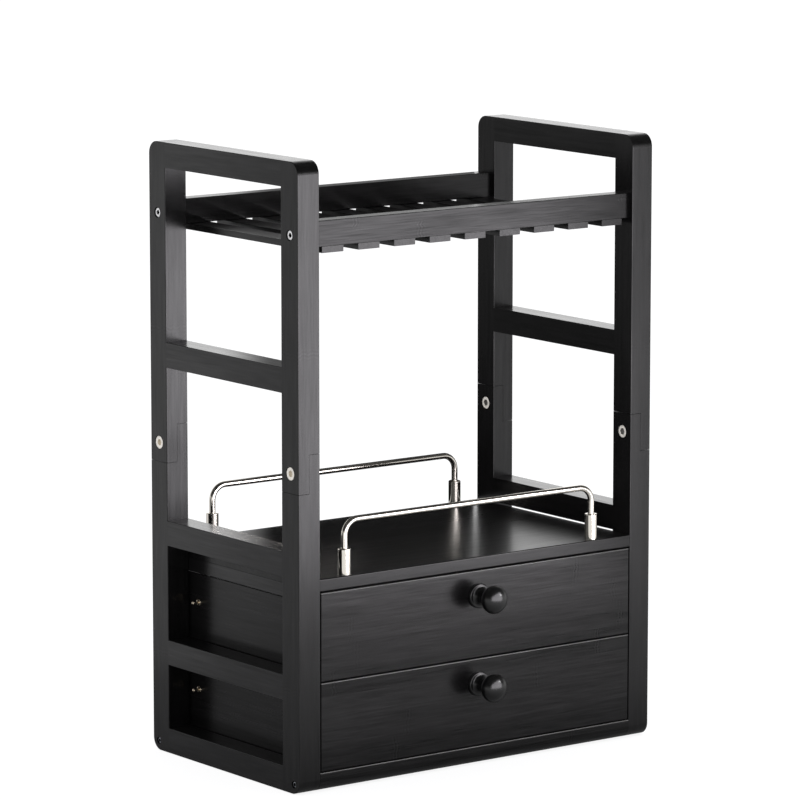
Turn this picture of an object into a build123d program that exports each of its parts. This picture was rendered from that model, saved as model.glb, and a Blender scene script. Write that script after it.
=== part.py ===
"""Countertop organizer in black-stained bamboo.

Two ladder side frames, each an upper half lapped and bolted to a lower half, carry a slatted
upper shelf, a lower shelf board with two metal guardrails, and two drawers that slide forward.
Origin: centre of the plan box on the ground. +X to the right, +Y to the back, +Z up. Millimetres.
"""
from build123d import *
import os

os.makedirs("parts", exist_ok=True)

# Overall size of the two side frames and what stands between them
overall_width = 345.0
overall_depth = 200.0
overall_height = 487.0

# Bars of the side frames
frame_thickness = 20.0
post_width = 22.0
rail_height = 20.0
corner_radius = 10.0
edge_round = 0.5
mid_rail_above_lap = 45.5
divider_lip = 5.3
dowel_diameter = 6.0
dowel_spacing = 10.0
dowel_in_post = 10.0
dowel_in_rail = 14.0
dowel_end_room = 0.4

# Half-lap joint between the upper and the lower half of each post
lap_above_rail = 46.1
lap_length = 30.5
lap_end_gap = 0.3
lap_face_gap = 0.2

# Upper shelf
shelf_below_top = 46.0
shelf_rail_height = 20.0
shelf_rail_thickness = 13.0
shelf_rail_round = 0.5
slat_count = 9
slat_width = 20.0
slat_side_room = 6.5
slat_thickness = 5.0
slat_end_inset = 1.0
slat_round = 0.3

# Lower shelf board and the cleats under its ends
board_thickness = 10.0
board_round = 1.0
board_edge_inset = 0.3
board_to_rail_gap = 1.0
cleat_width = 12.0
cleat_height = 11.0
cleat_round = 0.4

# Bars across the bottom
base_bar_size = 15.0

# Drawers
front_height = 69.5
front_thickness = 12.0
front_gap = 0.8
front_side_gap = 0.8
front_round = 0.8
panel_round = 0.4
drawer_rear_room = 10.0
drawer_side_height = 58.5
drawer_side_thickness = 9.0
drawer_back_thickness = 9.0
drawer_side_gap = 1.2
drawer_bottom_thickness = 4.0
bottom_above_edge = 5.0
groove_depth = 4.0
groove_room = 0.2
runner_gap = 0.3
front_to_runner_gap = 0.4
panel_dowel_depth = 9.0
panel_dowel_diameter = 5.0
panel_dowel_cover = 3.0
side_dowel_spacing = 30.0

# Drawer knobs
knob_height = 49.4
knob_base_diameter = 19.5
knob_base_thickness = 2.6
knob_neck_diameter = 10.4
knob_head_diameter = 22.5
knob_head_length = 16.0
knob_projection = 28.0
knob_screw_diameter = 4.0
knob_screw_depth = 13.0
knob_screw_head_diameter = 8.0
knob_screw_head_height = 2.2

# Stop pins in the drawer sides
pin_from_drawer_rear = 24.6
pin_above_edge = 35.5
pin_length = 6.4
pin_flange_diameter = 5.4
pin_flange_thickness = 1.0
pin_shank_diameter = 2.0
pin_head_diameter = 3.0
pin_head_length = 1.0
pin_root_length = 6.0

# Guardrails on the lower shelf
guard_end_inset = 31.2
guard_front_shift = -3.3
guard_from_front = 7.0
guard_from_rear = 10.0
guard_bar_height = 42.0
guard_rod_diameter = 5.0
guard_bend_radius = 12.0
socket_diameter = 10.0
socket_height = 20.2
socket_bore_depth = 12.0
socket_round = 0.6
guard_screw_diameter = 4.0
guard_screw_in_socket = 6.0
guard_screw_head_diameter = 7.6
guard_screw_head_height = 2.2

# Bolts and screws
bolt_diameter = 5.0
bolt_head_diameter = 7.6
base_bolt_diameter = 3.5
base_bolt_head_diameter = 5.0
bolt_head_height = 2.6
bolt_head_recess = 0.8
bolt_head_room = 0.7
bolt_hole_room = 0.5
bolt_short_of_insert = 2.0
hex_key = 3.0
base_hex_key = 2.5
lap_hex_key = 4.0
hex_depth = 1.6
insert_diameter = 8.0
insert_length = 18.0
lap_disc_diameter = 10.0
lap_disc_height = 1.2
lap_disc_recess = 0.5
lap_disc_room = 0.6
lap_sleeve_diameter = 7.0
lap_sleeve_short = 5.0
screw_diameter = 3.5
screw_head_diameter = 6.6
screw_head_height = 2.4
frame_screw_cover = 8.0
board_screw_cover = 3.0
screw_end_inset = 6.0
rail_screw_spacing = 80.0
board_screw_spacing = 60.0
brad_diameter = 1.6
brad_head_diameter = 2.8
brad_head_height = 0.8
brad_below_insert = 0.8
fit_room = 0.1

# Places worked out from the sizes above
front_y = (knob_projection - overall_depth) / 2
rear_y = front_y + overall_depth
mid_y = (front_y + rear_y) / 2
inner_x = overall_width / 2 - frame_thickness
window_front_y = front_y + post_width
window_rear_y = rear_y - post_width
window_width = overall_depth - 2 * post_width

lower_drawer_z = base_bar_size + front_gap
upper_drawer_z = lower_drawer_z + front_height + front_gap
board_bottom_z = upper_drawer_z + front_height + front_gap
board_top_z = board_bottom_z + board_thickness
shelf_rail_z = board_top_z + board_to_rail_gap
divider_rail_z = upper_drawer_z + divider_lip - rail_height
top_rail_z = overall_height - rail_height
lap_bottom_z = shelf_rail_z + rail_height + lap_above_rail
lap_top_z = lap_bottom_z + lap_length
mid_rail_z = lap_top_z + mid_rail_above_lap
lap_bolt_z = (lap_bottom_z + lap_top_z) / 2

upper_shelf_z = overall_height - shelf_below_top - shelf_rail_height
shelf_bolt_z = upper_shelf_z + shelf_rail_height / 2
post_centre_ys = (front_y + post_width / 2, rear_y - post_width / 2)
base_bolt_ys = (front_y + base_bar_size / 2, rear_y - base_bar_size / 2)
base_bolt_z = base_bar_size / 2
base_bar_round = min(corner_radius, base_bar_size - 2 * edge_round)
bolt_seat_depth = bolt_head_height + bolt_head_recess
bolt_shank_length = frame_thickness - bolt_seat_depth + insert_length - bolt_short_of_insert
lap_sleeve_length = frame_thickness - lap_sleeve_short
lap_seat_depth = lap_disc_height + lap_disc_recess
brad_top_z = shelf_bolt_z - insert_diameter / 2 - brad_below_insert
slat_pitch = (2 * (inner_x - slat_side_room) - slat_width) / (slat_count - 1)

runner_front_y = front_y + front_thickness + front_to_runner_gap
upper_runner_z = upper_drawer_z - runner_gap - cleat_height
lower_runner_z = lower_drawer_z - runner_gap - cleat_height
shelf_cleat_z = board_bottom_z - cleat_height
cleat_mid_x = inner_x - cleat_width / 2
cleat_screw_length = cleat_width + frame_thickness - frame_screw_cover
board_screw_length = cleat_height + board_thickness - board_screw_cover

guard_front_y = front_y + guard_from_front
guard_rear_y = rear_y - guard_from_rear
guard_span = 2 * (inner_x - guard_end_inset)
drawer_rear_y = rear_y - drawer_rear_room
pin_y = drawer_rear_y - pin_from_drawer_rear
drawer_travel = pin_y - pin_flange_diameter / 2 - window_front_y - runner_gap

RAILS = {
    "top_rail": top_rail_z,
    "mid_rail": mid_rail_z,
    "shelf_rail": shelf_rail_z,
    "divider_rail": divider_rail_z,
    "bottom_rail": 0.0,
}
SIDES = {"left": -1, "right": 1}
# Bolts through each half of a post: head, shank and hex key sizes, Y at front and rear, height
POST_BOLTS = {
    "upper": (bolt_head_diameter, bolt_diameter, hex_key, post_centre_ys, shelf_bolt_z),
    "lower": (base_bolt_head_diameter, base_bolt_diameter, base_hex_key, base_bolt_ys, base_bolt_z),
}
ALONG_X = (0, 90, 0)
ALONG_Y = (90, 0, 0)


def keep(builder, label):
    """Labels a finished piece and writes it to its own file."""
    builder.part.label = label
    export_step(builder.part, f"parts/{label}.step")


def block(x_span, y_span, z_span, mode=Mode.ADD):
    """Box between two places along each axis, in the part being built."""
    spans = (x_span, y_span, z_span)
    with Locations(tuple((low + high) / 2 for low, high in spans)):
        Box(*(abs(high - low) for low, high in spans), mode=mode)


def rod_x(x_span, y, z, diameter, mode=Mode.SUBTRACT):
    """Cylinder along X between two places, cut away unless told otherwise."""
    with Locations(Location((sum(x_span) / 2, y, z), ALONG_X)):
        Cylinder(diameter / 2, abs(x_span[1] - x_span[0]), mode=mode)


def rod_y(x, y_span, z, diameter, mode=Mode.SUBTRACT):
    """Cylinder along Y between two places, cut away unless told otherwise."""
    with Locations(Location((x, sum(y_span) / 2, z), ALONG_Y)):
        Cylinder(diameter / 2, abs(y_span[1] - y_span[0]), mode=mode)


def rod_z(x, y, z_span, diameter, mode=Mode.SUBTRACT):
    """Cylinder along Z between two places, cut away unless told otherwise."""
    with Locations((x, y, sum(z_span) / 2)):
        Cylinder(diameter / 2, abs(z_span[1] - z_span[0]), mode=mode)


# Side frames
def frame_windows():
    """Heights of the open windows between the rails, from the top one down."""
    levels = sorted(RAILS.values(), reverse=True)
    return [(low + rail_height, high) for high, low in zip(levels, levels[1:])]


def side_blank(side):
    """Whole ladder of one side, with a rounded outline and every rim eased, before it is divided."""
    with BuildPart() as blank:
        with BuildSketch(Plane.YZ.offset(side * (overall_width - frame_thickness) / 2)):
            with Locations((mid_y, overall_height / 2)):
                RectangleRounded(overall_depth, overall_height, corner_radius)
            for low, high in frame_windows():
                with Locations((mid_y, (low + high) / 2)):
                    Rectangle(window_width, high - low, mode=Mode.SUBTRACT)
        extrude(amount=frame_thickness / 2, both=True)
        fillet(blank.faces().filter_by(Axis.X).edges(), edge_round)
    return blank.part


def rail_dowel_places():
    """Side, end of a rail and height of every dowel that joins a rail to a post."""
    ends = ((window_front_y, -1), (window_rear_y, 1))
    heights = [z + rail_height / 2 + s * dowel_spacing / 2 for z in RAILS.values() for s in (-1, 1)]
    return [(side, y, way, z) for side in SIDES.values() for y, way in ends for z in heights]


def drill_frame_dowels():
    """Blind holes for the frame dowels, across each joint of rail and post."""
    for side, y, way, z in rail_dowel_places():
        span = (y + way * (dowel_in_post + dowel_end_room), y - way * (dowel_in_rail + dowel_end_room))
        rod_y(side * (overall_width - frame_thickness) / 2, span, z, dowel_diameter + fit_room)


def frame_region(side, boxes):
    """Volume made of boxes, each given as its span from the outer face, along Y and along Z."""
    outer_x = side * overall_width / 2
    with BuildPart() as region:
        for x_span, y_span, z_span in boxes:
            block([outer_x - side * depth for depth in x_span], y_span, z_span)
    return region.part


def runner_screw_places():
    """Side, Y and Z of each screw that fixes a runner to a rail or a cleat to the posts."""
    places = []
    for side in SIDES.values():
        for z in (lower_runner_z, upper_runner_z):
            for way in (-1, 1):
                places.append((side, mid_y + way * rail_screw_spacing / 2, z + cleat_height / 2))
        for y in (runner_front_y + screw_end_inset, rear_y - post_width / 2):
            places.append((side, y, shelf_cleat_z + cleat_height / 2))
    return places


def drill_side_screws():
    """Pilot holes in the side frames for the runner and cleat screws."""
    for side, y, z in runner_screw_places():
        tip_x = inner_x + cleat_screw_length - cleat_width
        rod_x((side * inner_x, side * (tip_x + fit_room)), y, z, screw_diameter + fit_room)


def make_post(side_name, level, place_name, blank):
    """Upper or lower half of a post, with its half of the lap joint and its bolt holes."""
    side = SIDES[side_name]
    y_span = (front_y, window_front_y) if place_name == "front" else (window_rear_y, rear_y)
    centre_y = sum(y_span) / 2
    outer_x = side * overall_width / 2
    head, shank, _, bolt_ys, bolt_z = POST_BOLTS[level]
    bolt_y = bolt_ys[0 if place_name == "front" else 1]
    half = (frame_thickness - lap_face_gap) / 2
    if level == "upper":
        boxes = [((0, frame_thickness), y_span, (lap_top_z, overall_height)),
                 ((0, half), y_span, (lap_bottom_z + lap_end_gap, lap_top_z))]
    else:
        boxes = [((0, frame_thickness), y_span, (0, lap_bottom_z)),
                 ((frame_thickness - half, frame_thickness), y_span, (lap_bottom_z, lap_top_z - lap_end_gap))]
    with BuildPart() as post:
        add(blank)
        add(frame_region(side, boxes), mode=Mode.INTERSECT)
        rod_x((outer_x, side * inner_x), bolt_y, bolt_z, shank + bolt_hole_room)
        rod_x((outer_x, outer_x - side * bolt_seat_depth), bolt_y, bolt_z, head + bolt_head_room)
        rod_x((outer_x, side * inner_x), centre_y, lap_bolt_z, lap_sleeve_diameter + bolt_hole_room)
        for face_x, inward in ((outer_x, -side), (side * inner_x, side)):
            seat_span = (face_x, face_x + inward * lap_seat_depth)
            rod_x(seat_span, centre_y, lap_bolt_z, lap_disc_diameter + lap_disc_room)
        drill_frame_dowels()
        drill_side_screws()
    keep(post, f"{side_name}_{level}_{place_name}_post")


def make_rail(side_name, rail_name, blank):
    """Horizontal bar of a side frame, between its two posts."""
    side = SIDES[side_name]
    z_span = (RAILS[rail_name], RAILS[rail_name] + rail_height)
    with BuildPart() as rail:
        add(blank)
        add(frame_region(side, [((0, frame_thickness), (window_front_y, window_rear_y), z_span)]),
            mode=Mode.INTERSECT)
        drill_frame_dowels()
        drill_side_screws()
    keep(rail, f"{side_name}_{rail_name}")


for side_name, side in SIDES.items():
    blank = side_blank(side)
    for level in ("upper", "lower"):
        for place_name in ("front", "rear"):
            make_post(side_name, level, place_name, blank)
    for rail_name in RAILS:
        make_rail(side_name, rail_name, blank)

with BuildPart() as frame_dowels:
    for side, y, way, z in rail_dowel_places():
        span = (y + way * dowel_in_post, y - way * dowel_in_rail)
        rod_y(side * (overall_width - frame_thickness) / 2, span, z, dowel_diameter, Mode.ADD)
keep(frame_dowels, "frame_dowels")


# Upper shelf: two rails on edge, with the slats fixed under them
def slat_xs():
    """X of each slat's centre line."""
    return [(i - (slat_count - 1) / 2) * slat_pitch for i in range(slat_count)]


def make_bar(label, y_span, z_span, round_edges, bolt_y, bolt_z):
    """Bar across the organizer between the frames, with an insert hole in each end."""
    with BuildPart() as bar:
        block((-inner_x, inner_x), y_span, z_span)
        for edges, radius in round_edges(bar):
            fillet(edges, radius)
        for side in SIDES.values():
            hole_end = side * (inner_x - insert_length - fit_room)
            rod_x((side * inner_x, hole_end), bolt_y, bolt_z, insert_diameter + fit_room)
        if z_span[0] == upper_shelf_z:
            for x in slat_xs():
                rod_z(x, bolt_y, (z_span[0], brad_top_z + fit_room), brad_diameter + fit_room)
    keep(bar, label)


def all_long_edges(bar):
    """Every edge of a bar that runs along X, eased alike."""
    return [(bar.edges().filter_by(Axis.X), shelf_rail_round)]


rail_inset = (post_width - shelf_rail_thickness) / 2
for place_name, centre_y in zip(("front", "rear"), post_centre_ys):
    rail_ys = (centre_y - shelf_rail_thickness / 2, centre_y + shelf_rail_thickness / 2)
    rail_zs = (upper_shelf_z, upper_shelf_z + shelf_rail_height)
    make_bar(f"upper_{place_name}_rail", rail_ys, rail_zs, all_long_edges, centre_y, shelf_bolt_z)

slat_ys = (front_y + rail_inset + slat_end_inset, rear_y - rail_inset - slat_end_inset)
with BuildPart() as upper_slats:
    for x in slat_xs():
        block((x - slat_width / 2, x + slat_width / 2), slat_ys, (upper_shelf_z - slat_thickness, upper_shelf_z))
    fillet(upper_slats.edges().filter_by(Axis.Y), slat_round)
    for x in slat_xs():
        for y in post_centre_ys:
            rod_z(x, y, (upper_shelf_z - slat_thickness, upper_shelf_z), brad_diameter + fit_room)
            head_zs = (upper_shelf_z - slat_thickness, upper_shelf_z - slat_thickness + brad_head_height)
            rod_z(x, y, head_zs, brad_head_diameter + fit_room)
keep(upper_slats, "upper_slats")

with BuildPart() as slat_brads:
    for x in slat_xs():
        for y in post_centre_ys:
            head_z = upper_shelf_z - slat_thickness
            rod_z(x, y, (head_z, head_z + brad_head_height), brad_head_diameter, Mode.ADD)
            rod_z(x, y, (head_z, brad_top_z), brad_diameter, Mode.ADD)
keep(slat_brads, "slat_brads")


# Bars across the bottom, their outer lower edge rounded like the corners of the frames
def outer_edge_of(bar_front):
    """Edge rounding of a bottom bar: large at its outer lower edge, small at the other three."""
    def edges_of(bar):
        along = bar.edges().filter_by(Axis.X)
        low = along.group_by(Axis.Z)[0].sort_by(Axis.Y)
        outer = low[0] if bar_front else low[-1]
        others = ShapeList([edge for edge in along if edge != outer])
        return [(others, edge_round), (bar.edges().filter_by(Axis.X).group_by(Axis.Z)[0]
                                       .sort_by(Axis.Y)[0 if bar_front else -1], base_bar_round)]
    return edges_of


for place_name, outer_face_y, way in (("front", front_y, 1), ("rear", rear_y, -1)):
    bar_ys = sorted((outer_face_y, outer_face_y + way * base_bar_size))
    bolt_y = outer_face_y + way * base_bar_size / 2
    make_bar(f"{place_name}_bottom_bar", bar_ys, (0.0, base_bar_size),
             outer_edge_of(place_name == "front"), bolt_y, base_bolt_z)


# Lower shelf board, cleats under it and runners for the drawers
def guard_places():
    """X and Y of the four guardrail legs."""
    rows = ((guard_front_shift, guard_front_y), (0.0, guard_rear_y))
    return [(shift + way * guard_span / 2, y) for shift, y in rows for way in (-1, 1)]


def board_screw_places():
    """X and Y of the screws that hold the board down on its cleats."""
    return [(side * cleat_mid_x, mid_y + step * board_screw_spacing)
            for side in SIDES.values() for step in (-1, 0, 1)]


with BuildPart() as lower_shelf_board:
    block((-inner_x, inner_x), (front_y + board_edge_inset, rear_y - board_edge_inset),
          (board_bottom_z, board_top_z))
    fillet(lower_shelf_board.edges().filter_by(Axis.X), board_round)
    for x, y in guard_places():
        rod_z(x, y, (board_bottom_z, board_top_z), guard_screw_diameter + bolt_hole_room)
        with Locations((x, y, board_bottom_z + guard_screw_head_height / 2)):
            Cone((guard_screw_head_diameter + bolt_hole_room) / 2, (guard_screw_diameter + bolt_hole_room) / 2,
                 guard_screw_head_height, mode=Mode.SUBTRACT)
    for x, y in board_screw_places():
        tip_z = shelf_cleat_z + board_screw_length
        rod_z(x, y, (board_bottom_z, tip_z + fit_room), screw_diameter + fit_room)
keep(lower_shelf_board, "lower_shelf_board")


def countersink_x(side, y, z):
    """Screw hole through a runner from its inner face to the frame, with a countersunk mouth."""
    mouth_x = side * (inner_x - cleat_width)
    rod_x((mouth_x, side * inner_x), y, z, screw_diameter + fit_room)
    with Locations(Location((mouth_x + side * screw_head_height / 2, y, z), (0, 90 * side, 0))):
        Cone((screw_head_diameter + fit_room) / 2, (screw_diameter + fit_room) / 2, screw_head_height,
             mode=Mode.SUBTRACT)


def make_cleat(side_name, label, y_span, bottom_z, holds_board):
    """Strip fixed to the inside of a side frame, running from front to back."""
    side = SIDES[side_name]
    with BuildPart() as cleat:
        block((side * (inner_x - cleat_width), side * inner_x), y_span, (bottom_z, bottom_z + cleat_height))
        fillet(cleat.edges().filter_by(Axis.Y), cleat_round)
        for screw_side, y, z in runner_screw_places():
            if screw_side == side and abs(z - bottom_z - cleat_height / 2) < cleat_height / 2:
                countersink_x(side, y, z)
        if holds_board:
            for x, y in board_screw_places():
                rod_z(x, y, (bottom_z, bottom_z + cleat_height), screw_diameter + fit_room)
                with Locations((x, y, bottom_z + screw_head_height / 2)):
                    Cone((screw_head_diameter + fit_room) / 2, (screw_diameter + fit_room) / 2,
                         screw_head_height, mode=Mode.SUBTRACT)
    keep(cleat, f"{side_name}_{label}")


behind_fronts = (runner_front_y, rear_y)
between_base_bars = (front_y + base_bar_size, rear_y - base_bar_size)
for side_name in SIDES:
    make_cleat(side_name, "shelf_cleat", behind_fronts, shelf_cleat_z, True)
    make_cleat(side_name, "upper_runner", behind_fronts, upper_runner_z, False)
    make_cleat(side_name, "lower_runner", between_base_bars, lower_runner_z, False)


def wood_screw(length):
    """Countersunk screw along +Z, its flat head at the origin."""
    with BuildPart() as screw:
        with Locations((0, 0, screw_head_height / 2)):
            Cone(screw_head_diameter / 2, screw_diameter / 2, screw_head_height)
        rod_z(0, 0, (screw_head_height, length), screw_diameter, Mode.ADD)
        with BuildSketch():
            Rectangle(hex_key, hex_key / 4)
            Rectangle(hex_key / 4, hex_key)
        extrude(amount=hex_depth / 2, mode=Mode.SUBTRACT)
    return screw.part


with BuildPart() as wood_screws:
    side_screw = wood_screw(cleat_screw_length)
    for side, y, z in runner_screw_places():
        with Locations(Location((side * (inner_x - cleat_width), y, z), (0, 90 * side, 0))):
            add(side_screw)
    board_screw = wood_screw(board_screw_length)
    for x, y in board_screw_places():
        with Locations((x, y, shelf_cleat_z)):
            add(board_screw)
keep(wood_screws, "wood_screws")


# Guardrails: a bent rod in two sockets, each held by a screw from under the board
def make_guardrail(label, shift, y):
    """Rod bent down at both ends into its sockets."""
    foot_z = board_top_z + socket_height - socket_bore_depth
    bar_z = board_top_z + guard_bar_height
    left_x, right_x = shift - guard_span / 2, shift + guard_span / 2
    with BuildPart() as rod:
        with BuildLine():
            FilletPolyline((left_x, y, foot_z), (left_x, y, bar_z), (right_x, y, bar_z), (right_x, y, foot_z),
                           radius=guard_bend_radius)
        with BuildSketch(Plane((left_x, y, foot_z))):
            Circle(guard_rod_diameter / 2)
        sweep()
    keep(rod, label)


make_guardrail("front_guardrail", guard_front_shift, guard_front_y)
make_guardrail("rear_guardrail", 0.0, guard_rear_y)

with BuildPart() as guardrail_sockets:
    for x, y in guard_places():
        rod_z(x, y, (board_top_z, board_top_z + socket_height), socket_diameter, Mode.ADD)
    fillet(guardrail_sockets.edges().group_by(Axis.Z)[-1], socket_round)
    for x, y in guard_places():
        bore_floor_z = board_top_z + socket_height - socket_bore_depth
        rod_z(x, y, (bore_floor_z, board_top_z + socket_height), guard_rod_diameter + fit_room)
        rod_z(x, y, (board_top_z, board_top_z + guard_screw_in_socket + fit_room), guard_screw_diameter + fit_room)
keep(guardrail_sockets, "guardrail_sockets")

with BuildPart() as guardrail_screws:
    for x, y in guard_places():
        with Locations((x, y, board_bottom_z + guard_screw_head_height / 2)):
            Cone(guard_screw_head_diameter / 2, guard_screw_diameter / 2, guard_screw_head_height)
        shank_zs = (board_bottom_z + guard_screw_head_height, board_top_z + guard_screw_in_socket)
        rod_z(x, y, shank_zs, guard_screw_diameter, Mode.ADD)
keep(guardrail_screws, "guardrail_screws")


# Bolts through the posts
def frame_bolt(head, shank, key):
    """Socket-headed bolt along +Z, the underside of its head at the origin."""
    with BuildPart() as bolt:
        rod_z(0, 0, (-bolt_head_height, 0), head, Mode.ADD)
        rod_z(0, 0, (0, bolt_shank_length), shank, Mode.ADD)
        with BuildSketch(Plane.XY.offset(-bolt_head_height)):
            RegularPolygon(key / 2, 6, major_radius=False)
        extrude(amount=hex_depth, mode=Mode.SUBTRACT)
    return bolt.part


def make_frame_bolts(label, level):
    """Four bolts, one through each post into the end of a bar."""
    head, shank, key, ys, z = POST_BOLTS[level]
    under_head_x = overall_width / 2 - bolt_seat_depth
    bolt = frame_bolt(head, shank, key)
    with BuildPart() as bolts:
        for side in SIDES.values():
            for y in ys:
                with Locations(Location((side * under_head_x, y, z), (0, -90 * side, 0))):
                    add(bolt)
    keep(bolts, label)


make_frame_bolts("shelf_bolts", "upper")
make_frame_bolts("base_bolts", "lower")

with BuildPart() as insert_nuts:
    for side in SIDES.values():
        span = (side * inner_x, side * (inner_x - insert_length))
        for _, shank, _, ys, z in POST_BOLTS.values():
            for y in ys:
                rod_x(span, y, z, insert_diameter, Mode.ADD)
                rod_x(span, y, z, shank + fit_room)
keep(insert_nuts, "insert_nuts")

with BuildPart() as lap_sleeve_nuts:
    sleeve_tip_x = overall_width / 2 - lap_sleeve_length
    seat_x = overall_width / 2 - lap_seat_depth
    for side in SIDES.values():
        for y in post_centre_ys:
            disc_span = (side * seat_x, side * (seat_x + lap_disc_height))
            rod_x(disc_span, y, lap_bolt_z, lap_disc_diameter, Mode.ADD)
            rod_x((side * seat_x, side * sleeve_tip_x), y, lap_bolt_z, lap_sleeve_diameter, Mode.ADD)
    for end in (0, -1):
        fillet(lap_sleeve_nuts.edges().filter_by(GeomType.CIRCLE).group_by(Axis.X)[end], lap_disc_height / 4)
    for side in SIDES.values():
        for y in post_centre_ys:
            rod_x((side * seat_x, side * sleeve_tip_x), y, lap_bolt_z, bolt_diameter + fit_room)
keep(lap_sleeve_nuts, "lap_sleeve_nuts")

with BuildPart() as lap_bolts:
    face_x = inner_x + lap_disc_recess
    for side in SIDES.values():
        for y in post_centre_ys:
            rod_x((side * face_x, side * (face_x + lap_disc_height)), y, lap_bolt_z, lap_disc_diameter, Mode.ADD)
            rod_x((side * face_x, side * (inner_x + lap_sleeve_length)), y, lap_bolt_z, bolt_diameter, Mode.ADD)
    for side in SIDES.values():
        for y in post_centre_ys:
            with BuildSketch(Plane(origin=(side * face_x, y, lap_bolt_z), z_dir=(side, 0, 0))):
                RegularPolygon(lap_hex_key / 2, 6, major_radius=False)
            extrude(amount=hex_depth, mode=Mode.SUBTRACT)
keep(lap_bolts, "lap_bolts")


# Drawers
side_outer_x = inner_x - drawer_side_gap
side_inner_x = side_outer_x - drawer_side_thickness
side_mid_x = side_outer_x - drawer_side_thickness / 2
front_back_y = front_y + front_thickness
back_front_y = drawer_rear_y - drawer_back_thickness
back_mid_y = drawer_rear_y - drawer_back_thickness / 2


def dowel_heights(bottom_z):
    """Heights of the two dowels at each corner of a drawer, above its bottom panel."""
    middle = bottom_z + (drawer_side_height + bottom_above_edge + drawer_bottom_thickness) / 2
    return (middle - side_dowel_spacing / 2, middle + side_dowel_spacing / 2)


def corner_dowels(bottom_z, room, end_room, mode):
    """Dowels from front to sides along Y and from sides to back along X, or the holes for them."""
    for side in SIDES.values():
        for z in dowel_heights(bottom_z):
            front_end = front_back_y - (front_thickness - panel_dowel_cover) - end_room
            rear_end = front_back_y + panel_dowel_depth + end_room
            rod_y(side * side_mid_x, (front_end, rear_end), z, panel_dowel_diameter + room, mode)
            outer_end = side * (side_outer_x - panel_dowel_cover + end_room)
            inner_end = side * (side_inner_x - panel_dowel_depth - end_room)
            rod_x((outer_end, inner_end), back_mid_y, z, panel_dowel_diameter + room, mode)


def bottom_panel_box(bottom_z, room, mode):
    """Bottom panel with its edges in the grooves, or the grooves with a little room."""
    half_x = side_inner_x + groove_depth - groove_room + room
    y_span = (front_back_y - groove_depth + groove_room - room, back_front_y + groove_depth - groove_room + room)
    low = bottom_z + bottom_above_edge
    block((-half_x, half_x), y_span, (low, low + drawer_bottom_thickness), mode)


def make_drawer(name, bottom_z):
    """One drawer: front, two sides, back, bottom, knob with its screw, stop pins and dowels."""
    half_front = inner_x - front_side_gap
    knob_z = bottom_z + knob_height
    side_zs = (bottom_z, bottom_z + drawer_side_height)
    pin_z = bottom_z + pin_above_edge

    with BuildPart() as front:
        block((-half_front, half_front), (front_y, front_back_y), (bottom_z, bottom_z + front_height))
        fillet(front.faces().sort_by(Axis.Y)[0].edges(), front_round)
        rod_y(0, (front_y, front_back_y), knob_z, knob_screw_diameter + bolt_hole_room)
        corner_dowels(bottom_z, fit_room, dowel_end_room, Mode.SUBTRACT)
        bottom_panel_box(bottom_z, groove_room, Mode.SUBTRACT)
    keep(front, f"{name}_front")

    for side_name, side in SIDES.items():
        with BuildPart() as panel:
            block((side * side_inner_x, side * side_outer_x), (front_back_y, drawer_rear_y), side_zs)
            fillet(panel.faces().sort_by(Axis.Z)[-1].edges().filter_by(Axis.Y), panel_round)
            corner_dowels(bottom_z, fit_room, dowel_end_room, Mode.SUBTRACT)
            bottom_panel_box(bottom_z, groove_room, Mode.SUBTRACT)
            root_end_x = side * (side_outer_x - pin_root_length)
            rod_x((side * side_outer_x, root_end_x), pin_y, pin_z, pin_shank_diameter + fit_room)
        keep(panel, f"{name}_{side_name}_side")

    with BuildPart() as back:
        block((-side_inner_x, side_inner_x), (back_front_y, drawer_rear_y), side_zs)
        fillet(back.faces().sort_by(Axis.Z)[-1].edges().filter_by(Axis.X), panel_round)
        corner_dowels(bottom_z, fit_room, dowel_end_room, Mode.SUBTRACT)
        bottom_panel_box(bottom_z, groove_room, Mode.SUBTRACT)
    keep(back, f"{name}_back")

    with BuildPart() as bottom:
        bottom_panel_box(bottom_z, 0.0, Mode.ADD)
    keep(bottom, f"{name}_bottom")

    with BuildPart() as dowels:
        corner_dowels(bottom_z, 0.0, 0.0, Mode.ADD)
    keep(dowels, f"{name}_dowels")

    make_knob(name, knob_z)
    make_stop_pins(name, pin_z)


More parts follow.
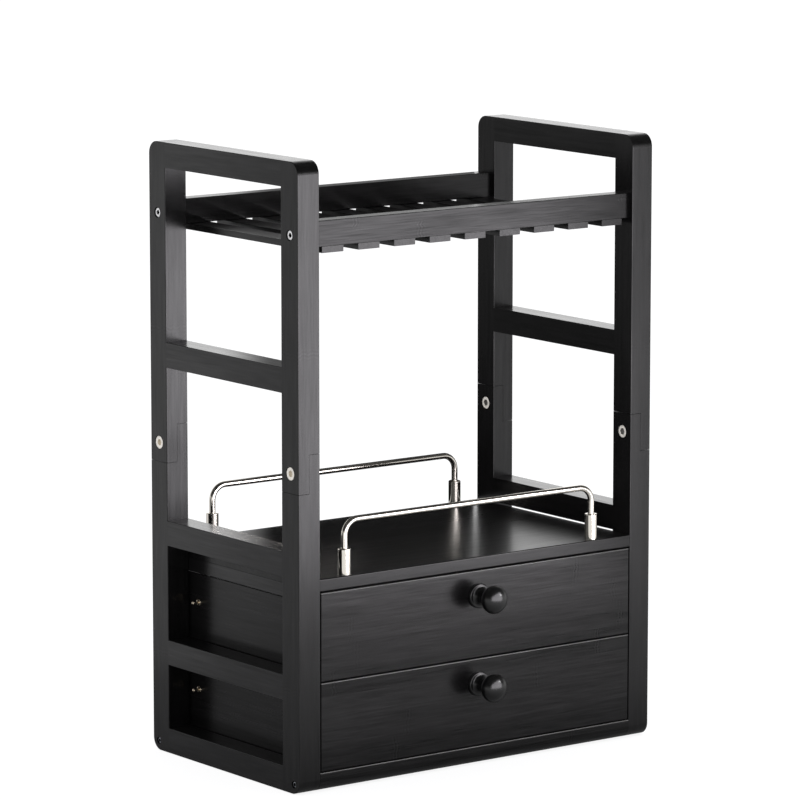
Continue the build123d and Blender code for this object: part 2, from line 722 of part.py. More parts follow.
def make_knob(name, knob_z):
    """Turned knob: a flared base, a waist and a flattened ball, with the screw that holds it."""
    base_r = knob_base_diameter / 2
    neck_r = knob_neck_diameter / 2
    head_mid = knob_projection - knob_head_length / 2
    waist = knob_projection - knob_head_length
    axis = Axis((0, front_y, knob_z), (0, 1, 0))
    with BuildPart() as knob:
        with BuildSketch(Plane(origin=(0, front_y, knob_z), x_dir=(1, 0, 0), z_dir=(0, 0, 1))):
            with BuildLine():
                rim = Line((base_r, 0), (base_r, -knob_base_thickness))
                TangentArc(rim @ 1, (neck_r, -waist), tangent=(-1, -0.35))
                Polyline((neck_r, -waist), (neck_r, -head_mid), (0, -head_mid), (0, 0), (base_r, 0))
            make_face()
            with Locations((0, -head_mid)):
                Ellipse(knob_head_diameter / 2, knob_head_length / 2)
            with Locations((-knob_head_diameter / 2, -head_mid)):
                Rectangle(knob_head_diameter, 2 * knob_projection, mode=Mode.SUBTRACT)
        revolve(axis=axis)
        rod_y(0, (front_y, front_y - knob_screw_depth - fit_room), knob_z, knob_screw_diameter + fit_room)
    keep(knob, f"{name}_knob")

    with BuildPart() as screw:
        head_ys = (front_back_y, front_back_y + knob_screw_head_height)
        rod_y(0, head_ys, knob_z, knob_screw_head_diameter, Mode.ADD)
        rod_y(0, (front_y - knob_screw_depth, front_back_y), knob_z, knob_screw_diameter, Mode.ADD)
        with BuildSketch(Plane(origin=(0, head_ys[1], knob_z), z_dir=(0, -1, 0))):
            Rectangle(hex_key * 1.5, hex_key / 3)
            Rectangle(hex_key / 3, hex_key * 1.5)
        extrude(amount=hex_depth, mode=Mode.SUBTRACT)
    keep(screw, f"{name}_knob_screw")


def make_stop_pins(name, pin_z):
    """Collared pins in both drawer sides, which meet the front posts when the drawer is out."""
    with BuildPart() as pins:
        for side in SIDES.values():
            face_x = side * side_outer_x
            tip_x = face_x + side * pin_length
            rod_x((face_x, face_x + side * pin_flange_thickness), pin_y, pin_z, pin_flange_diameter, Mode.ADD)
            rod_x((face_x - side * pin_root_length, tip_x), pin_y, pin_z, pin_shank_diameter, Mode.ADD)
            rod_x((tip_x - side * pin_head_length, tip_x), pin_y, pin_z, pin_head_diameter, Mode.ADD)
        for end in (0, -1):
            fillet(pins.edges().filter_by(GeomType.CIRCLE).group_by(Axis.X)[end], pin_head_length / 3)
    keep(pins, f"{name}_stop_pins")


make_drawer("upper_drawer", upper_drawer_z)
make_drawer("lower_drawer", lower_drawer_z)
print(f"drawer travel {drawer_travel:.2f} mm, shelf rail underside {shelf_rail_z:.2f} mm")
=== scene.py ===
"""Looks of the bamboo countertop organizer: stained bamboo, turned and bent metal, and a plain studio."""
import math

import bpy
import numpy as np
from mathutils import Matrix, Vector


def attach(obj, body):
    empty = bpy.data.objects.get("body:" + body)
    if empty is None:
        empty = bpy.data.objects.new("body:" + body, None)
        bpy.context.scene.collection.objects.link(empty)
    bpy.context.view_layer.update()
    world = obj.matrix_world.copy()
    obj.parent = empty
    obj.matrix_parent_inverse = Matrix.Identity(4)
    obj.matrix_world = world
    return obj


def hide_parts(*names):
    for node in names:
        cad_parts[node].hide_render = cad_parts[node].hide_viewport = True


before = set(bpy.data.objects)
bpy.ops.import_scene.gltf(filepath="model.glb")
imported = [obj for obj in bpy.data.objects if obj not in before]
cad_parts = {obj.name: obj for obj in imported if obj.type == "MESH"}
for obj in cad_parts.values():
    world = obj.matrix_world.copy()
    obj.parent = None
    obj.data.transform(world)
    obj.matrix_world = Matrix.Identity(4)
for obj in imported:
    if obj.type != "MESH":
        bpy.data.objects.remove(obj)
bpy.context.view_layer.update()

MM = 0.001
X, Y, Z = 0, 1, 2

# Sizes and places of the pieces made here, in millimetres, as the solids have them
HALF_WIDTH = 172.5
INNER_X = 152.5
FRONT_Y = -86.0
REAR_Y = 114.0
POST_YS = (-75.0, 103.0)
BOARD_TOP_Z = 166.4
SHELF_BOLT_Z = 431.0
LAP_BOLT_Z = 248.75
BASE_BOLT_YS = (FRONT_Y + 7.5, REAR_Y - 7.5)
BASE_BOLT_Z = 7.5
KNOB_ZS = {"upper_drawer": 135.5, "lower_drawer": 65.2}
PIN_ZS = {"upper_drawer": 121.6, "lower_drawer": 51.3}
PIN_X = 151.3
PIN_Y = 79.4

# Guardrails: width between the centres of the legs, heights of a leg's lower end and of the bar, and radii of
# the bends and of the rod. For each one, how far it lies to the right, and its Y.
GUARD_SPAN = 242.6
GUARD_FOOT_Z = 174.6
GUARD_BAR_Z = 208.4
GUARD_BEND = 12.0
GUARD_ROD_RADIUS = 2.5
GUARDRAILS = {"front": (-3.3, FRONT_Y + 7.0), "rear": (0.0, REAR_Y - 10.0)}

# Heights in millimetres of painted highlights: grey lines just under the top edges of the bottom bar and two
# fronts
EDGE_HIGHLIGHT_ZS = (14.6, 84.8, 155.1)
EDGE_HIGHLIGHT_GREY = "#6c6b6b"

# Streaks of the bamboo: length and width in millimetres, and detail
STREAKS = ((110.0, 4.0, 2.0), (30.0, 1.1, 3.0))

# Nodes of the cane, in metres: from one to the next, how far the streaks bend one, and how far its ripple
# reaches. The ripple's rate is in radians per metre.
NODE_PITCH = 0.26
NODE_BEND = 0.008
NODE_REACH = 0.006
RIPPLE_RATE = 2200.0


# Meshes from whole arrays of points
def mesh_from_rings(points, cap_start=False, cap_end=False):
    """Points and faces of n rings of m points, given as an (n, m, 3) array; quads join them."""
    n, m = points.shape[:2]
    index = np.arange(n * m).reshape(n, m)
    following = np.roll(index, -1, axis=1)
    quads = np.stack([index[:-1], following[:-1], following[1:], index[1:]], axis=-1).reshape(-1, 4)
    faces = quads.tolist()
    if cap_start:
        faces.append(index[0, ::-1].tolist())
    if cap_end:
        faces.append(index[-1].tolist())
    return points.reshape(-1, 3), faces


def joined(meshes):
    """Several (points, faces) pairs as one."""
    points, faces, start = [], [], 0
    for some_points, some_faces in meshes:
        points.append(some_points)
        faces += [[i + start for i in face] for face in some_faces]
        start += len(some_points)
    return np.concatenate(points), faces


def piece(name, meshes, material, body, nodes, sharp_deg, insides=(), inside_material=None):
    """Adds one object made of several meshes, smooth but for its sharp edges, in place of its plain solids.

    insides are more meshes of the same object, with a material of their own.
    """
    points, faces = joined([*meshes, *insides])
    mesh = bpy.data.meshes.new(name)
    mesh.from_pydata((points * MM).tolist(), [], faces)
    mesh.update()
    mesh.materials.append(material)
    if insides:
        mesh.materials.append(inside_material)
        first_inside = len(joined(meshes)[1])
        for polygon in mesh.polygons[first_inside:]:
            polygon.material_index = 1
    mesh.shade_smooth()
    mesh.set_sharp_from_angle(angle=math.radians(sharp_deg))
    obj = bpy.data.objects.new(name, mesh)
    bpy.context.scene.collection.objects.link(obj)
    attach(obj, body)
    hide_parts(*nodes)


def turned(profile, place, axis, segments):
    """Surface of revolution: each (radius, height) of the profile goes round the axis through place.

    The point is place + height * axis + radius * (cos t * side + sin t * up), for t from 0 to a full turn.
    """
    axis = np.array(axis, float)
    side = np.cross(axis, [0.0, 0.0, 1.0])
    side = np.array([1.0, 0.0, 0.0]) if np.linalg.norm(side) < 0.1 else side / np.linalg.norm(side)
    up = np.cross(axis, side)
    radius, height = np.array(profile, float).T
    t = np.linspace(0, 2 * np.pi, segments, endpoint=False)
    ring = np.cos(t)[:, None] * side + np.sin(t)[:, None] * up
    points = np.array(place) + height[:, None, None] * axis + radius[:, None, None] * ring
    return mesh_from_rings(points)


def arc(centre, radius, start_deg, end_deg, count):
    """Points of a circular arc in a profile, from one angle to the other; two radii make it an ellipse.

    A point is centre + (radius * cos t, radius * sin t).
    """
    t = np.radians(np.linspace(start_deg, end_deg, count))
    radius_x, radius_y = np.broadcast_to(radius, 2)
    return list(zip(centre[0] + radius_x * np.cos(t), centre[1] + radius_y * np.sin(t)))


def rod_along(path, radius, segments=28):
    """Round rod along a path in a plane of constant Y, with a ring of points about each point of the path.

    The ring at a point is radius * (cos t * Y + sin t * n), where n is square to the path and to Y.
    """
    path = np.array(path, float)
    along = np.gradient(path, axis=0)
    along /= np.linalg.norm(along, axis=1)[:, None]
    across = np.array([0.0, 1.0, 0.0])
    normal = np.cross(along, across)
    t = np.linspace(0, 2 * np.pi, segments, endpoint=False)
    ring = np.cos(t)[None, :, None] * across + np.sin(t)[None, :, None] * normal[:, None, :]
    return mesh_from_rings(path[:, None, :] + radius * ring, cap_start=True, cap_end=True)


# Colours and materials
def linear(hex_code):
    """Linear RGBA of an sRGB hex colour."""
    srgb = np.array([int(hex_code[i:i + 2], 16) for i in (1, 3, 5)]) / 255
    rgb = np.where(srgb <= 0.04045, srgb / 12.92, ((srgb + 0.055) / 1.055) ** 2.4)
    return (*rgb.tolist(), 1.0)


def add(tree, kind, inputs=(), **settings):
    """Adds one shader node; each input is a value, a socket, or a node whose first output feeds it.

    inputs is a list in the order of the node's sockets, or a dictionary by their names.
    """
    node = tree.nodes.new("ShaderNode" + kind)
    for key, value in settings.items():
        setattr(node, key, value)
    for key, value in (inputs.items() if isinstance(inputs, dict) else enumerate(inputs)):
        value = value.outputs[0] if isinstance(value, bpy.types.Node) else value
        if isinstance(value, bpy.types.NodeSocket):
            tree.links.new(value, node.inputs[key])
        else:
            node.inputs[key].default_value = value
    return node


def blank_material(name):
    """New material, and its node tree with nothing in it."""
    material = bpy.data.materials.new(name)
    material.use_nodes = True
    material.node_tree.nodes.clear()
    return material, material.node_tree


def finish(name, shader_inputs, build):
    """Material with one principled shader; build gives the inputs that vary over the surface, by name."""
    material, tree = blank_material(name)
    place = add(tree, "TexCoord").outputs["Object"]
    shader = add(tree, "BsdfPrincipled", {**shader_inputs, **build(tree, place)})
    add(tree, "OutputMaterial", {"Surface": shader.outputs["BSDF"]})
    return material


def stained_bamboo(name, order, strip_mm, phase, dark, light, roughness, coat, streak, edge_highlight_zs=()):
    """Laminated bamboo, stained black, under satin lacquer.

    order gives the axes along the grain, across the strips and through the board. The eye gets nearly all its
    light from the lacquer, so the grain shows as streaks where the lacquer lies thinner over the pores,
    1.1 mm and 4 mm wide, and hardly as colour. Each strip has its own tone and its own nodes of the cane,
    260 mm apart, which show as a short ripple across the grain. coat is how much of the lacquer there is, and
    streak how far it varies. The last argument gives the heights in millimetres of edges in front that get a
    painted highlight, a thin grey line.
    """
    def build(tree, place):
        axes = add(tree, "SeparateXYZ", [place]).outputs
        along, across, through = (axes[i] for i in order)
        strip = add(tree, "Math", [across, 1 / (strip_mm * MM), phase], operation="MULTIPLY_ADD")
        strip = add(tree, "Math", [strip], operation="FLOOR")
        tone = add(tree, "TexWhiteNoise", {"W": strip}, noise_dimensions="1D").outputs["Value"]

        streaks = []
        for length_mm, width_mm, detail in STREAKS:
            x = add(tree, "Math", [along, 1 / (length_mm * MM), tone], operation="MULTIPLY_ADD")
            y = add(tree, "Math", [across, 1 / (width_mm * MM)], operation="MULTIPLY")
            z = add(tree, "Math", [through, 1 / (width_mm * MM)], operation="MULTIPLY")
            where = add(tree, "CombineXYZ", [x, y, z])
            streaks.append(add(tree, "TexNoise", {"Vector": where, "Scale": 1.0, "Detail": detail,
                                                  "Roughness": 0.55}))
        broad, fine = streaks

        # Signed distance along the strip to the nearest node of the cane, bent a little by the streaks. Each
        # strip's tone sets where its nodes begin.
        lap = add(tree, "Math", [tone, 5.37], operation="MULTIPLY")
        lap = add(tree, "Math", [along, 1 / NODE_PITCH, lap], operation="MULTIPLY_ADD")
        lap = add(tree, "Math", [lap], operation="FRACT")
        off = add(tree, "Math", [lap, NODE_PITCH, -NODE_PITCH / 2], operation="MULTIPLY_ADD")
        off = add(tree, "Math", [broad, NODE_BEND, off], operation="MULTIPLY_ADD")
        near = add(tree, "Math", [off], operation="ABSOLUTE")
        near = add(tree, "MapRange", [near, 0.0, NODE_REACH, 1.0, 0.0], interpolation_type="SMOOTHSTEP")
        ripple = add(tree, "Math", [off, RIPPLE_RATE], operation="MULTIPLY")
        ripple = add(tree, "Math", [ripple], operation="SINE")
        ripple = add(tree, "Math", [ripple, near], operation="MULTIPLY")

        # The grain is a weighted sum, and share is where it lies between its usual ends
        grain = 0.0
        for part, weight in ((broad, 0.35), (fine, 0.65), (tone, 0.12), (ripple, 0.12)):
            grain = add(tree, "Math", [part, weight, grain], operation="MULTIPLY_ADD")
        share = add(tree, "MapRange", [grain, 0.38, 0.76, 0.0, 1.0])
        relief = add(tree, "Math", [ripple, 0.3, fine], operation="MULTIPLY_ADD")
        lacquer = add(tree, "MapRange", [share, 0.0, 1.0, coat * (1 - streak), coat * (1 + streak)])
        matt = add(tree, "MapRange", [share, 0.0, 1.0, roughness + 0.05, roughness - 0.04])

        colour = add(tree, "Mix", {"Factor": share, "A": linear(dark), "B": linear(light)}, data_type="RGBA")
        # Painted highlight: a thin grey line just under each top edge in front, in place of the light those
        # edges catch
        for height in edge_highlight_zs:
            away = add(tree, "Math", [axes["Z"], height * MM], operation="SUBTRACT")
            away = add(tree, "Math", [away], operation="ABSOLUTE")
            edge = add(tree, "MapRange", [away, 0.1 * MM, 0.5 * MM, 1.0, 0.0])
            in_front = add(tree, "Math", [axes["Y"], (FRONT_Y + 1.0) * MM], operation="LESS_THAN")
            edge = add(tree, "Math", [edge, in_front], operation="MULTIPLY")
            mix = {"Factor": edge, "A": colour.outputs["Result"], "B": linear(EDGE_HIGHLIGHT_GREY)}
            colour = add(tree, "Mix", mix, data_type="RGBA")
        bump = add(tree, "Bump", {"Height": relief, "Strength": 0.4, "Distance": 0.05 * MM})
        return {
            "Base Color": colour.outputs["Result"],
            "Coat Weight": lacquer.outputs[0],
            "Roughness": matt.outputs[0],
            "Normal": bump.outputs[0],
        }

    return finish(name, {"IOR": 1.5, "Specular IOR Level": 0.03, "Coat Roughness": roughness * 0.75,
                         "Coat IOR": 1.42}, build)


def plated(name, colour, roughness, grit_mm=0.8, spread=0.06, metallic=1.0):
    """Plated or polished metal: its roughness varies over a fine grit, as buffing leaves it.

    A flake coating is partly matt, so it is metallic only in part.
    """
    def build(tree, place):
        grit = add(tree, "TexNoise", {"Vector": place, "Scale": 1 / (grit_mm * MM), "Detail": 3.0})
        rough = add(tree, "MapRange", [grit, 0.3, 0.7, roughness - spread, roughness + spread])
        return {"Roughness": rough.outputs[0]}

    return finish(name, {"Base Color": linear(colour), "Metallic": metallic}, build)


def turned_lacquer(name, dark, light, peel_mm=3.0):
    """Turned wood under black semi-gloss lacquer: one broad soft highlight, with a faint orange peel."""
    def build(tree, place):
        peel = add(tree, "TexNoise", {"Vector": place, "Scale": 1 / (peel_mm * MM), "Detail": 2.0})
        colour = add(tree, "Mix", {"Factor": peel, "A": linear(dark), "B": linear(light)}, data_type="RGBA")
        bump = add(tree, "Bump", {"Height": peel, "Strength": 0.2, "Distance": 0.03 * MM})
        return {"Base Color": colour.outputs["Result"], "Normal": bump.outputs[0]}

    return finish(name, {"Roughness": 0.34, "Specular IOR Level": 0.1, "Coat Weight": 0.65,
                         "Coat Roughness": 0.2, "Coat IOR": 1.5}, build)


BAMBOO = {"dark": "#050505", "light": "#131213", "roughness": 0.3, "coat": 0.8, "streak": 0.18}
FRONTS = {**BAMBOO, "coat": 0.68, "streak": 0.38}
TOPS = {**FRONTS, "coat": 0.57}
SIDES = {**BAMBOO, "coat": 0.54, "streak": 0.12}
BOARD = {**BAMBOO, "coat": 0.69}
PANEL = {"dark": "#0e0d0d", "light": "#201f1e", "roughness": 0.5, "coat": 0.1, "streak": 0.3}
BARE = {"dark": "#a98456", "light": "#d2b07c", "roughness": 0.6, "coat": 0.0, "streak": 0.0}
# The numbers are the width of a strip in millimetres and how far the strips are shifted, as a share of a strip
bamboo_up = stained_bamboo("Stained bamboo, grain upright", (Z, X, Y), 61.0, 0.5, **BAMBOO)
bamboo_deep = stained_bamboo("Stained bamboo, grain front to back", (Y, Z, X), 23.0, 0.2, **BAMBOO)
bamboo_wide = stained_bamboo("Stained bamboo, grain left to right", (X, Z, Y), 20.0, 0.3, **FRONTS,
                             edge_highlight_zs=EDGE_HIGHLIGHT_ZS)
bamboo_side = stained_bamboo("Stained bamboo drawer sides", (Y, Z, X), 23.0, 0.7, **SIDES)
bamboo_top = stained_bamboo("Stained bamboo upper rails", (X, Z, Y), 20.0, 0.3, **TOPS)
bamboo_slat = stained_bamboo("Stained bamboo slats", (Y, X, Z), 34.0, 0.5, **BAMBOO)
bamboo_board = stained_bamboo("Stained bamboo board", (X, Y, Z), 22.0, 0.1, **BOARD)
bamboo_panel = stained_bamboo("Stained bamboo drawer bottom", (X, Y, Z), 22.0, 0.6, **PANEL)
bamboo_bare = stained_bamboo("Bare bamboo dowels", (Z, X, Y), 6.0, 0.0, **BARE)
knob_lacquer = turned_lacquer("Semi-gloss black lacquer on turned wood", "#060606", "#0b0b0c")
# The number after a metal's colour is its roughness
nickel = plated("Nickel-plated steel rod", "#dcd7ce", 0.12, grit_mm=1.5, spread=0.03)
pin_nickel = plated("Nickel-plated stop pins", "#e6d9c4", 0.12, spread=0.03)
zinc = plated("Zinc-flake coated steel", "#fdfdff", 0.38, metallic=0.2)
warm_zinc = plated("Cream zinc-flake coat", "#fffaf2", 0.5, metallic=0.1)
# Painted shade: the sleeve nuts' sunken centres are a darker cream than their rims
shaded_centre_zinc = plated("Cream zinc-flake coat, darker as painted shade", "#c9bda8", 0.45, grit_mm=1.2, metallic=0.3)
black_oxide = plated("Black-oxide steel", "#a2a5ab", 0.26)
# Painted shade: the hex sockets of the shelf and base bolts are near black, for the shade in their deep recess
painted_shade_socket = plated("Hex socket painted dark as its shade", "#080808", 0.5)
# Painted shade: the lap bolts' sockets are a darker grey than their heads, for the shade in the recess
shaded_zinc_socket = plated("Zinc-flake hex socket, darker as painted shade", "#7c7a77", 0.5, metallic=0.3)

# Finish of each solid, by the last word of its name
FINISH_OF = {
    "post": bamboo_up, "rail": bamboo_deep, "cleat": bamboo_deep, "runner": bamboo_deep, "bar": bamboo_wide,
    "front": bamboo_wide, "back": bamboo_wide, "side": bamboo_side, "bottom": bamboo_panel,
    "slats": bamboo_slat, "board": bamboo_board, "dowels": bamboo_bare, "brads": zinc, "screws": zinc,
    "screw": zinc, "nuts": zinc, "bolts": zinc, "pins": pin_nickel, "knob": knob_lacquer,
    "guardrail": nickel, "sockets": nickel,
}
UPPER_RAILS = ("upper_front_rail", "upper_rear_rail")
for name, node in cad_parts.items():
    material = bamboo_top if name in UPPER_RAILS else FINISH_OF[name.split("_")[-1]]
    node.data.materials.clear()
    node.data.materials.append(material)


# Knobs: radius and distance from the drawer of a collar, a waist and a flattened ball, as one turned profile
KNOB_PROFILE = [(0.0, 0.0), (9.2, 0.0), (9.6, 0.0)] + arc((8.55, 1.2), 1.2, -30, 88, 10)
KNOB_PROFILE += arc((8.5, 6.9), (3.3, 4.5), 262, 165, 16) + arc((0.0, 20.0), (11.25, 8.0), -63, 90, 40)
for drawer, z in KNOB_ZS.items():
    knob = turned(KNOB_PROFILE, (0.0, FRONT_Y, z), (0, -1, 0), 72)
    piece(f"{drawer}_turned_knob", [knob], knob_lacquer, drawer, [f"{drawer}_knob"], 50)


# Guardrails and their sockets
def guardrail_path(shift, y, lead=6.0):
    """Up one leg, round a bend, along the bar and down the other leg, with a point at lead from each bend."""
    left, right = shift - GUARD_SPAN / 2, shift + GUARD_SPAN / 2
    low, bend = GUARD_BAR_Z - GUARD_BEND, GUARD_BEND
    flat = [(left, GUARD_FOOT_Z), (left, low - lead)] + arc((left + bend, low), bend, 180, 90, 14)
    flat += [(left + bend + lead, GUARD_BAR_Z), (right - bend - lead, GUARD_BAR_Z)]
    flat += arc((right - bend, low), bend, 90, 0, 14) + [(right, low - lead), (right, GUARD_FOOT_Z)]
    return [(x, y, z) for x, z in flat]


SOCKET_PROFILE = [(0.0, 0.0), (5.0, 0.0), (5.0, 19.4)] + arc((4.2, 19.4), 0.8, 0, 90, 6)
SOCKET_PROFILE += [(2.9, 20.2), (2.7, 19.9), (2.7, 12.0), (0.0, 12.0)]
sockets = []
for label, (shift, y) in GUARDRAILS.items():
    rod = rod_along(guardrail_path(shift, y), GUARD_ROD_RADIUS)
    piece(f"{label}_bent_guardrail", [rod], nickel, "organizer_frame", [f"{label}_guardrail"],
          60)
    for way in (-1, 1):
        foot = (shift + way * GUARD_SPAN / 2, y, BOARD_TOP_Z)
        sockets.append(turned(SOCKET_PROFILE, foot, (0, 0, 1), 48))
piece("guardrail_turned_sockets", sockets, nickel, "organizer_frame", ["guardrail_sockets"],
      40)


# Bolts, sleeve nuts and pins
def hex_head(radius, key, face, height, place, axis, dome=0.35, depth=1.6):
    """Round bolt head, a little domed, and its hexagonal socket, as rings that turn from round to six-sided.

    At an angle t the hexagon's radius is half the key over cos(t mod 60 deg - 30 deg). The domed face stands
    dome * (1 - (r / radius)^2) above its rim at a radius r. The rim is rounded over 0.3 mm and the socket's
    mouth over 0.2 mm. The socket ends in the cone of a drill.
    """
    rim, bevel, lip, cone = 0.3, 0.1, 0.2, 0.3
    t = np.linspace(0, 2 * np.pi, 72, endpoint=False)
    hexagon = key / 2 / np.cos(np.mod(t, np.pi / 3) - np.pi / 6)
    round_ring = np.ones_like(t)
    head = [(radius * round_ring, face - height), (radius * round_ring, face - rim),
            ((radius - bevel) * round_ring, face - bevel)]
    for share in np.linspace(0, 1, 6):
        r = (radius - rim) * (1 - share) + (hexagon + lip) * share
        head.append((r, face + dome * (1 - (r / radius) ** 2)))
    mouth = face + dome * (1 - (hexagon / radius) ** 2) - lip
    head.append((hexagon, mouth))
    socket = [(hexagon, mouth), (hexagon, mouth - depth), (hexagon * 0.02, mouth - depth - cone)]
    axis = np.array(axis, float)
    side = np.array([0.0, 1.0, 0.0])
    ring = np.cos(t)[:, None] * side + np.sin(t)[:, None] * np.cross(axis, side)
    meshes = []
    for rings, closed in ((head, False), (socket, True)):
        points = np.stack([np.array(place) + (h * round_ring)[:, None] * axis + r[:, None] * ring
                           for r, h in rings])
        meshes.append(mesh_from_rings(points, cap_end=closed))
    return meshes


def on_posts(x, ys, z):
    """The four places at a height on the posts, at x to the left and to the right."""
    return [(side * x, y, z) for side in (-1, 1) for y in ys]


def bolt_heads(name, places, out, material, inside, node, radius, key, face, height):
    """One piece with the heads of four bolts, and their sockets in a darker material of their own, as painted
    shade.

    out is 1 where the heads face away from the organizer and -1 where they face its middle. face is how far
    outward a head's rim lies from its place.
    """
    heads = [hex_head(radius, key, face, height, place, (out * np.sign(place[0]), 0, 0)) for place in places]
    piece(name, [head for head, _ in heads], material, "organizer_frame", [node], 30,
          [socket for _, socket in heads], inside)


bolt_heads("shelf_bolt_heads", on_posts(HALF_WIDTH, POST_YS, SHELF_BOLT_Z), 1, zinc, painted_shade_socket,
           "shelf_bolts", radius=3.8, key=3.4, face=-1.0, height=2.4)
bolt_heads("base_bolt_heads", on_posts(HALF_WIDTH, BASE_BOLT_YS, BASE_BOLT_Z), 1, black_oxide, painted_shade_socket,
           "base_bolts", radius=2.5, key=2.5, face=-1.0, height=2.4)
bolt_heads("lap_bolt_heads", on_posts(INNER_X, POST_YS, LAP_BOLT_Z), -1, warm_zinc, shaded_zinc_socket,
           "lap_bolts", radius=5.1, key=4.8, face=-0.6, height=1.1)

# Sleeve nuts of the lap joints: discs with a rounded rim and a sunken centre, darker as painted shade
DISC_RIM = [(5.2, -1.7), (5.2, -0.7)] + arc((4.9, -0.7), 0.3, 0, 90, 4) + [(3.6, -0.4), (2.6, -0.5)]
DISC_CENTRE = [(2.6, -0.5), (1.8, -0.6), (1.6, -1.1), (0.0, -1.2)]
disc_places = on_posts(HALF_WIDTH, POST_YS, LAP_BOLT_Z)
rims, centres = ([turned(profile, place, (np.sign(place[0]), 0, 0), 48) for place in disc_places]
                 for profile in (DISC_RIM, DISC_CENTRE))
piece("lap_nut_discs", rims, warm_zinc, "organizer_frame", ["lap_sleeve_nuts"], 40, centres,
      shaded_centre_zinc)

# Stop pins: a root in the drawer side, a collar against it, a neck and a small rounded head
PIN_PROFILE = [(0.0, -5.9), (1.0, -5.9), (1.0, 0.0), (2.7, 0.0), (2.7, 0.8)]
PIN_PROFILE += arc((2.5, 0.8), 0.2, 0, 90, 4) + [(2.1, 0.65), (1.0, 0.65), (1.0, 5.4), (1.5, 5.5), (1.5, 6.1)]
PIN_PROFILE += arc((1.2, 6.1), 0.3, 0, 150, 6) + [(0.7, 6.0), (0.0, 5.9)]
for drawer, z in PIN_ZS.items():
    pins = [turned(PIN_PROFILE, (side * PIN_X, PIN_Y, z), (side, 0, 0), 32) for side in (-1, 1)]
    piece(f"{drawer}_turned_pins", pins, pin_nickel, drawer, [f"{drawer}_stop_pins"], 40)


# Floor, light and camera
def studio_plane(name, corners, material):
    """Adds a flat surface of the studio with four corners."""
    mesh = bpy.data.meshes.new(name)
    mesh.from_pydata(corners, [], [(0, 1, 2, 3)])
    mesh.materials.append(material)
    plane = bpy.data.objects.new(name, mesh)
    bpy.context.scene.collection.objects.link(plane)
    return plane


def floor_material(name, colour, seen, mirrored):
    """Matt floor, dim to the object, that also shines to the camera and in mirrored rays as a white backdrop.

    The camera sees it white but for the shadow. Metal and lacquer mirror it with the second strength, graded
    as painted light: a painted shadow, with less near the organizer, and a painted pool of light, with more
    in front, towards the softbox.
    """
    material, tree = blank_material(name)
    matt = add(tree, "BsdfDiffuse", {"Color": linear(colour)})
    rays = add(tree, "LightPath").outputs
    glossy = add(tree, "Math", [rays["Is Glossy Ray"], rays["Is Transmission Ray"]], operation="MAXIMUM")
    place = add(tree, "TexCoord").outputs["Object"]
    reach = add(tree, "VectorMath", [place], operation="LENGTH").outputs["Value"]
    # Painted shadow in mirrored rays: the floor shines less near the organizer
    strength = add(tree, "MapRange", [reach, 0.15, 1.1, 0.3 * mirrored, mirrored])
    depth = add(tree, "SeparateXYZ", [place]).outputs["Y"]
    # Painted pool of light in mirrored rays: the floor shines more in front, towards the softbox
    front = add(tree, "MapRange", [depth, -0.1, -0.35, 0.0, 1.1 * mirrored])
    strength = add(tree, "Math", [strength, front])
    strength = add(tree, "Math", [glossy, strength], operation="MULTIPLY")
    strength = add(tree, "Math", [rays["Is Camera Ray"], seen, strength], operation="MULTIPLY_ADD")
    glow = add(tree, "Emission", {"Color": (1, 1, 1, 1), "Strength": strength})
    add(tree, "OutputMaterial", {"Surface": add(tree, "AddShader", [matt, glow])})
    return material


# Half the width of the floor, and its height, in metres
FLOOR_REACH = 20
FLOOR_Z = -0.0003
floor_corners = [(x * FLOOR_REACH, y * FLOOR_REACH, FLOOR_Z)
                 for x, y in ((-1, -1), (1, -1), (1, 1), (-1, 1))]
floor = studio_plane("studio_floor", floor_corners,
                     floor_material("Matt studio floor", "#78787a", seen=0.86, mirrored=0.4))

# A dark card behind the shelves, seen in mirrored rays alone, paints a dark reflection into the board and the
# slats in place of the backdrop. It fades away to the left and glows from black to grey towards its top, a
# painted reflection. Its sizes are in millimetres.
CARD_LEFT, CARD_RIGHT = -110, 152
CARD_FOOT, CARD_TOP = 167, 486
CARD_Y = REAR_Y + 4
card_material, tree = blank_material("Dark card")
place = add(tree, "SeparateXYZ", [add(tree, "TexCoord").outputs["Object"]]).outputs
# Painted reflection: the card glows from nearly black at its foot to grey at its top
grey = add(tree, "Emission", {"Strength": add(tree, "MapRange", [place["Z"], 0.2, 0.45, 0.01, 0.3])})
solid = add(tree, "MapRange", [place["X"], CARD_LEFT * MM, -0.05, 0.0, 1.0], interpolation_type="SMOOTHSTEP")
shine = add(tree, "MixShader", [solid, add(tree, "BsdfTransparent"), grey])
add(tree, "OutputMaterial", {"Surface": shine})
card_corners = [(x * MM, CARD_Y * MM, z * MM) for x, z in ((CARD_LEFT, CARD_FOOT), (CARD_RIGHT, CARD_FOOT),
                                                           (CARD_RIGHT, CARD_TOP), (CARD_LEFT, CARD_TOP))]
card = studio_plane("dark_card", card_corners, card_material)
card.visible_camera = card.visible_diffuse = card.visible_shadow = card.visible_transmission = False

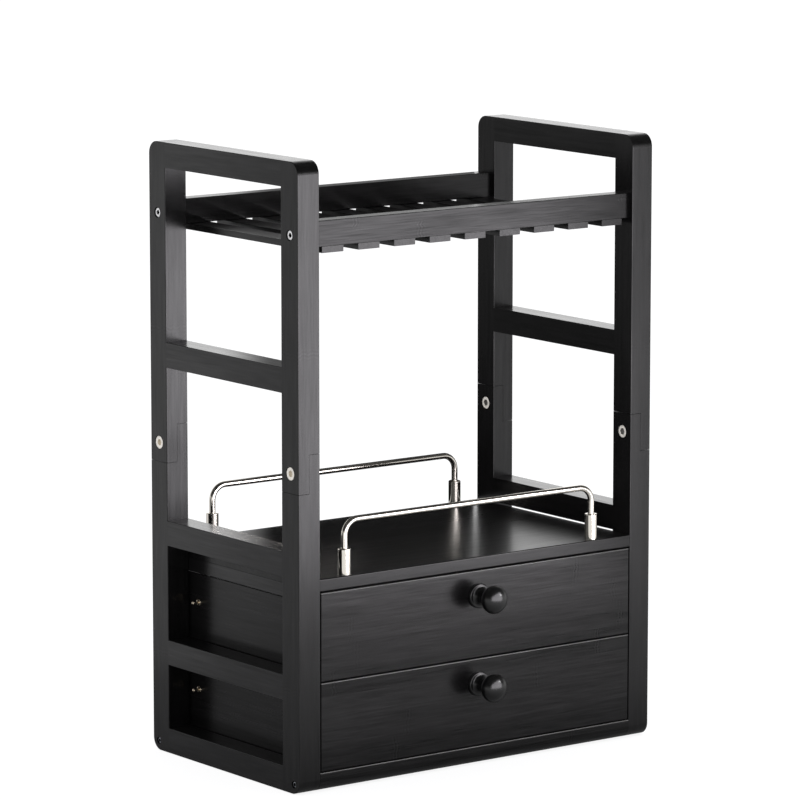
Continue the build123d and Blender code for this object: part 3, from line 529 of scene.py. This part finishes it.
# The world: even all round for the light it gives. To the camera and in mirrored rays it is a white backdrop
# in a dark room, which rises about 40 degrees above the floor behind the organizer and 10 degrees elsewhere.
BEHIND = (0.6, 0.8, 0.0)
ROOM_STRENGTH = 1.2
DARK_ROOM = 0.08
WHITE = (1, 1, 1, 1)
world = bpy.data.worlds.new("Studio")
bpy.context.scene.world = world
world.use_nodes = True
tree = world.node_tree
tree.nodes.clear()
rays = add(tree, "LightPath").outputs
mirrored = add(tree, "Math", [rays["Is Glossy Ray"], rays["Is Transmission Ray"]], operation="MAXIMUM")
seen = add(tree, "Math", [rays["Is Camera Ray"], mirrored], operation="MAXIMUM")
way = add(tree, "TexCoord").outputs["Generated"]
behind = add(tree, "VectorMath", [way, BEHIND], operation="DOT_PRODUCT").outputs["Value"]
behind = add(tree, "MapRange", [behind, 0.4, 0.8, 0.0, 1.0], interpolation_type="SMOOTHSTEP")
rise = add(tree, "MapRange", [behind, 0.0, 1.0, 0.0, 0.5])
height = add(tree, "Math", [add(tree, "SeparateXYZ", [way]).outputs["Z"], rise], operation="SUBTRACT")
white = add(tree, "MapRange", [height, 0.05, 0.3, 1.0, DARK_ROOM], interpolation_type="SMOOTHSTEP")
room = add(tree, "Background", [WHITE, ROOM_STRENGTH])
backdrop = add(tree, "Background", [WHITE, white])
add(tree, "OutputWorld", {"Surface": add(tree, "MixShader", [seen, room, backdrop])})


def softbox(name, place, target, width, height, radiance, colour=(1.0, 1.0, 1.0), mirrored_only=False):
    """Rectangular lamp that faces a target. Its power follows from its area and how bright its face is."""
    data = bpy.data.lights.new(name, "AREA")
    data.shape = "RECTANGLE"
    data.size, data.size_y = width, height
    data.energy = radiance * math.pi * width * height
    data.color = colour
    lamp = bpy.data.objects.new(name, data)
    lamp.location = place
    lamp.rotation_euler = (Vector(target) - Vector(place)).to_track_quat("-Z", "Y").to_euler()
    lamp.visible_camera = False
    lamp.visible_diffuse = not mirrored_only
    bpy.context.scene.collection.objects.link(lamp)


# The first softbox is seen in the lacquer and the metal alone. The fronts mirror it from 160 mm above the
# floor upwards and fade to the floor's grey below, and its right edge lies where the right posts mirror it.
# The key lamp is the hot spot on the knobs. The two lamps behind show in the bar tops, in the left sides and
# in the bolts.
softbox("Front right softbox", (-0.029, -0.846, 0.275), (-0.383, -0.372, 0.275), width=1.17, height=0.47,
        radiance=5.5, colour=(1.0, 0.965, 1.015), mirrored_only=True)
softbox("Key lamp", (0.269, -0.374, 0.256), (0.0, -0.106, 0.13), width=0.058, height=0.058, radiance=22.0)
softbox("Rear right softbox", (0.71, 0.96, 0.62), (0.0, 0.0, 0.5), width=1.2, height=1.0, radiance=0.4)
softbox("Rear left strip", (-0.317, 0.325, 0.24), (-0.051, -0.03, 0.24), width=0.13, height=0.46,
        radiance=0.28)

# The camera stands to the left of the front and looks down a little, both in degrees
CAMERA_LEFT = 36.730
CAMERA_DOWN = 9.199
camera_data = bpy.data.cameras.new("Camera")
camera_data.sensor_width = 36.0
camera_data.lens = 216.35
camera_data.clip_end = 50.0
camera = bpy.data.objects.new("Camera", camera_data)
camera.location = (-2.2527, -3.0022, 0.8870)
camera.rotation_euler = (math.radians(90 - CAMERA_DOWN), 0.0, math.radians(-CAMERA_LEFT))
bpy.context.scene.collection.objects.link(camera)
bpy.context.scene.camera = camera
bpy.context.scene.view_settings.view_transform = "Standard"
